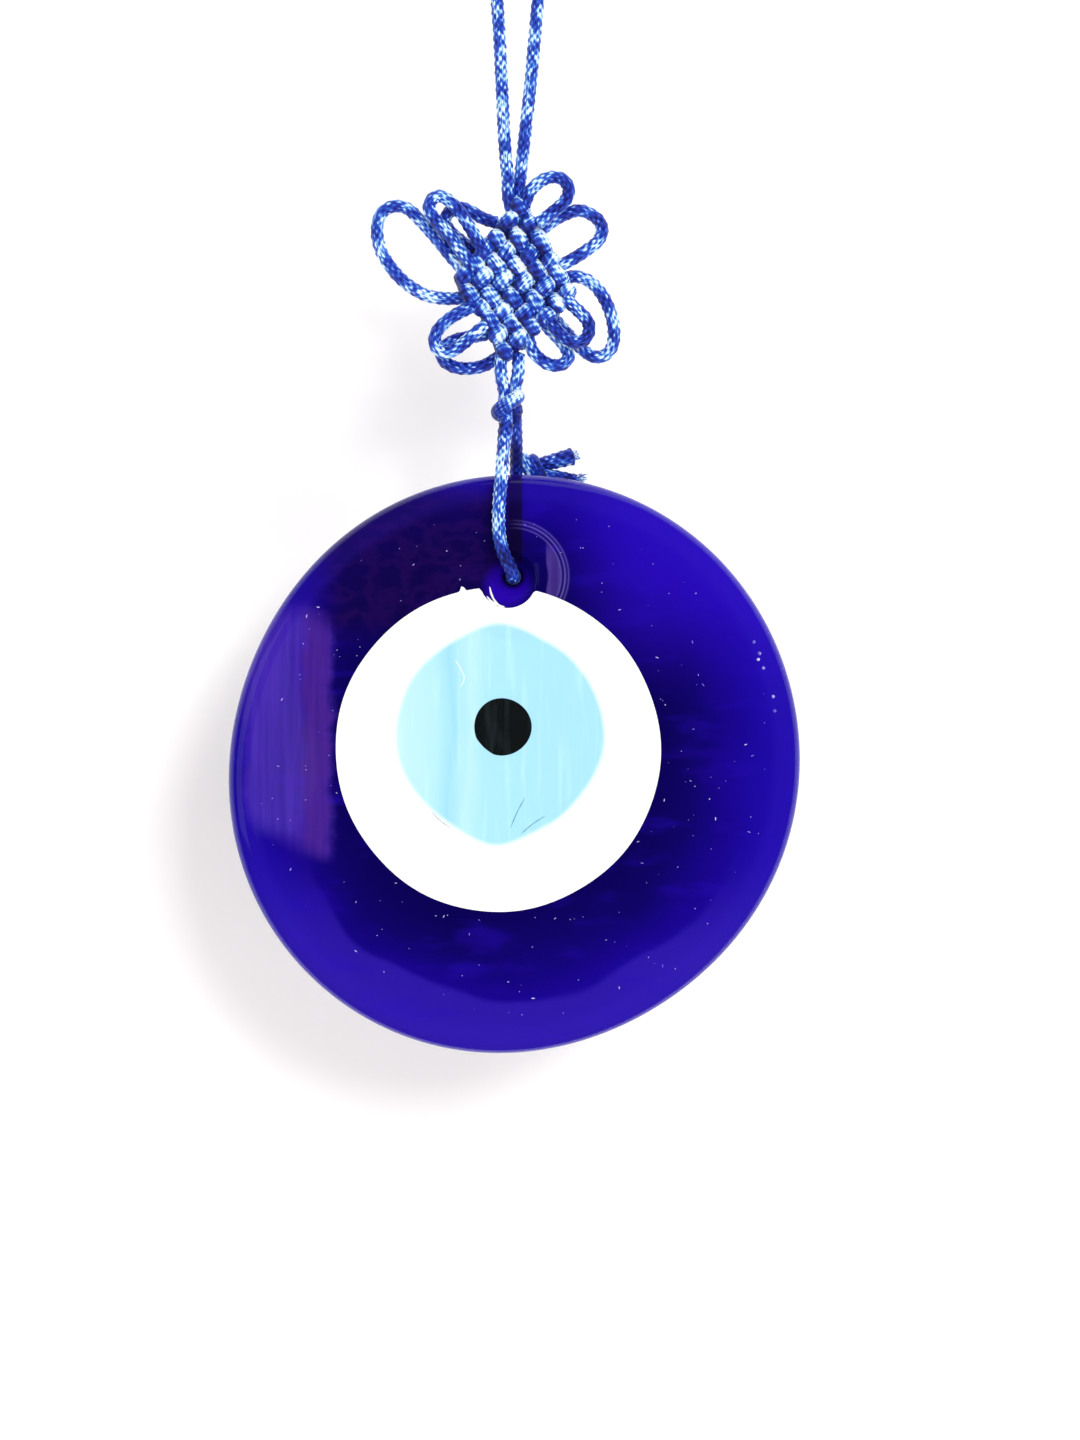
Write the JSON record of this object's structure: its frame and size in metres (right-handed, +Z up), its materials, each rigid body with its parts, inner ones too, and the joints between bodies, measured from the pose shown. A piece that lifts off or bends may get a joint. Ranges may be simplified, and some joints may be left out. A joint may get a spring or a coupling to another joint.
{
  "type": "evil eye ornament",
  "caption": "Round fused glass eye disc, hung through its hole on a satin cord tied in a woven decorative knot with a hanging loop.",
  "frame": {"origin": "the inside top of the hanging loop, where it bears on a nail or hook", "axes": "+Z up, the eye's face towards -Y, +X to the right as the face is seen"},
  "size_m": [0.1004, 0.0164, 0.212],
  "materials": {
    "cobalt_glass": "fire-polished deep blue glass",
    "white_glass": "opaque glossy white glass",
    "light_blue_glass": "opaque glossy light blue glass",
    "black_glass": "opaque glossy black glass",
    "satin_cord": "braided satin with a strong sheen"
  },
  "bodies": {
    "hanger": {"hanging_loop": "satin_cord"},
    "knot": {"knot_weave": "satin_cord", "left_wing_loop": "satin_cord", "upper_left_front_loop": "satin_cord", "upper_left_back_loop": "satin_cord", "top_right_loop": "satin_cord", "right_loop": "satin_cord", "right_wing_loop": "satin_cord", "inner_right_loop": "satin_cord", "bottom_right_loop": "satin_cord", "lower_left_loop": "satin_cord", "bottom_left_loop": "satin_cord"},
    "collar": {"left_neck_strand": "satin_cord", "right_neck_strand": "satin_cord", "overhand_knot": "satin_cord"},
    "sling": {"front_strand": "satin_cord", "back_strand": "satin_cord", "tie_off_knot": "satin_cord", "upper_tail": "satin_cord", "lower_tail": "satin_cord"},
    "disc": {"cobalt_disc": "cobalt_glass", "white_layer": "white_glass", "light_blue_layer": "light_blue_glass", "black_pupil": "black_glass"}
  },
  "joints": [
    {"name": "pendant_twist", "type": "hinge", "parent": "hanger", "child": "knot", "pos_m": [0, 0, -0.0575], "axis": [0, 0, 1], "range_deg": [-90, 90]},
    {"name": "neck_swing", "type": "hinge", "parent": "knot", "child": "collar", "pos_m": [0, 0, -0.091], "axis": [0, 1, 0], "range_deg": [-25, 25]},
    {"name": "sling_tilt", "type": "hinge", "parent": "collar", "child": "sling", "pos_m": [0, -0.0003, -0.099], "axis": [1, 0, 0], "range_deg": [-15, 15]},
    {"name": "disc_turn", "type": "hinge", "parent": "sling", "child": "disc", "pos_m": [0, 0, -0.1262], "axis": [0, 1, 0], "range_deg": [-30, 30]}
  ]
}
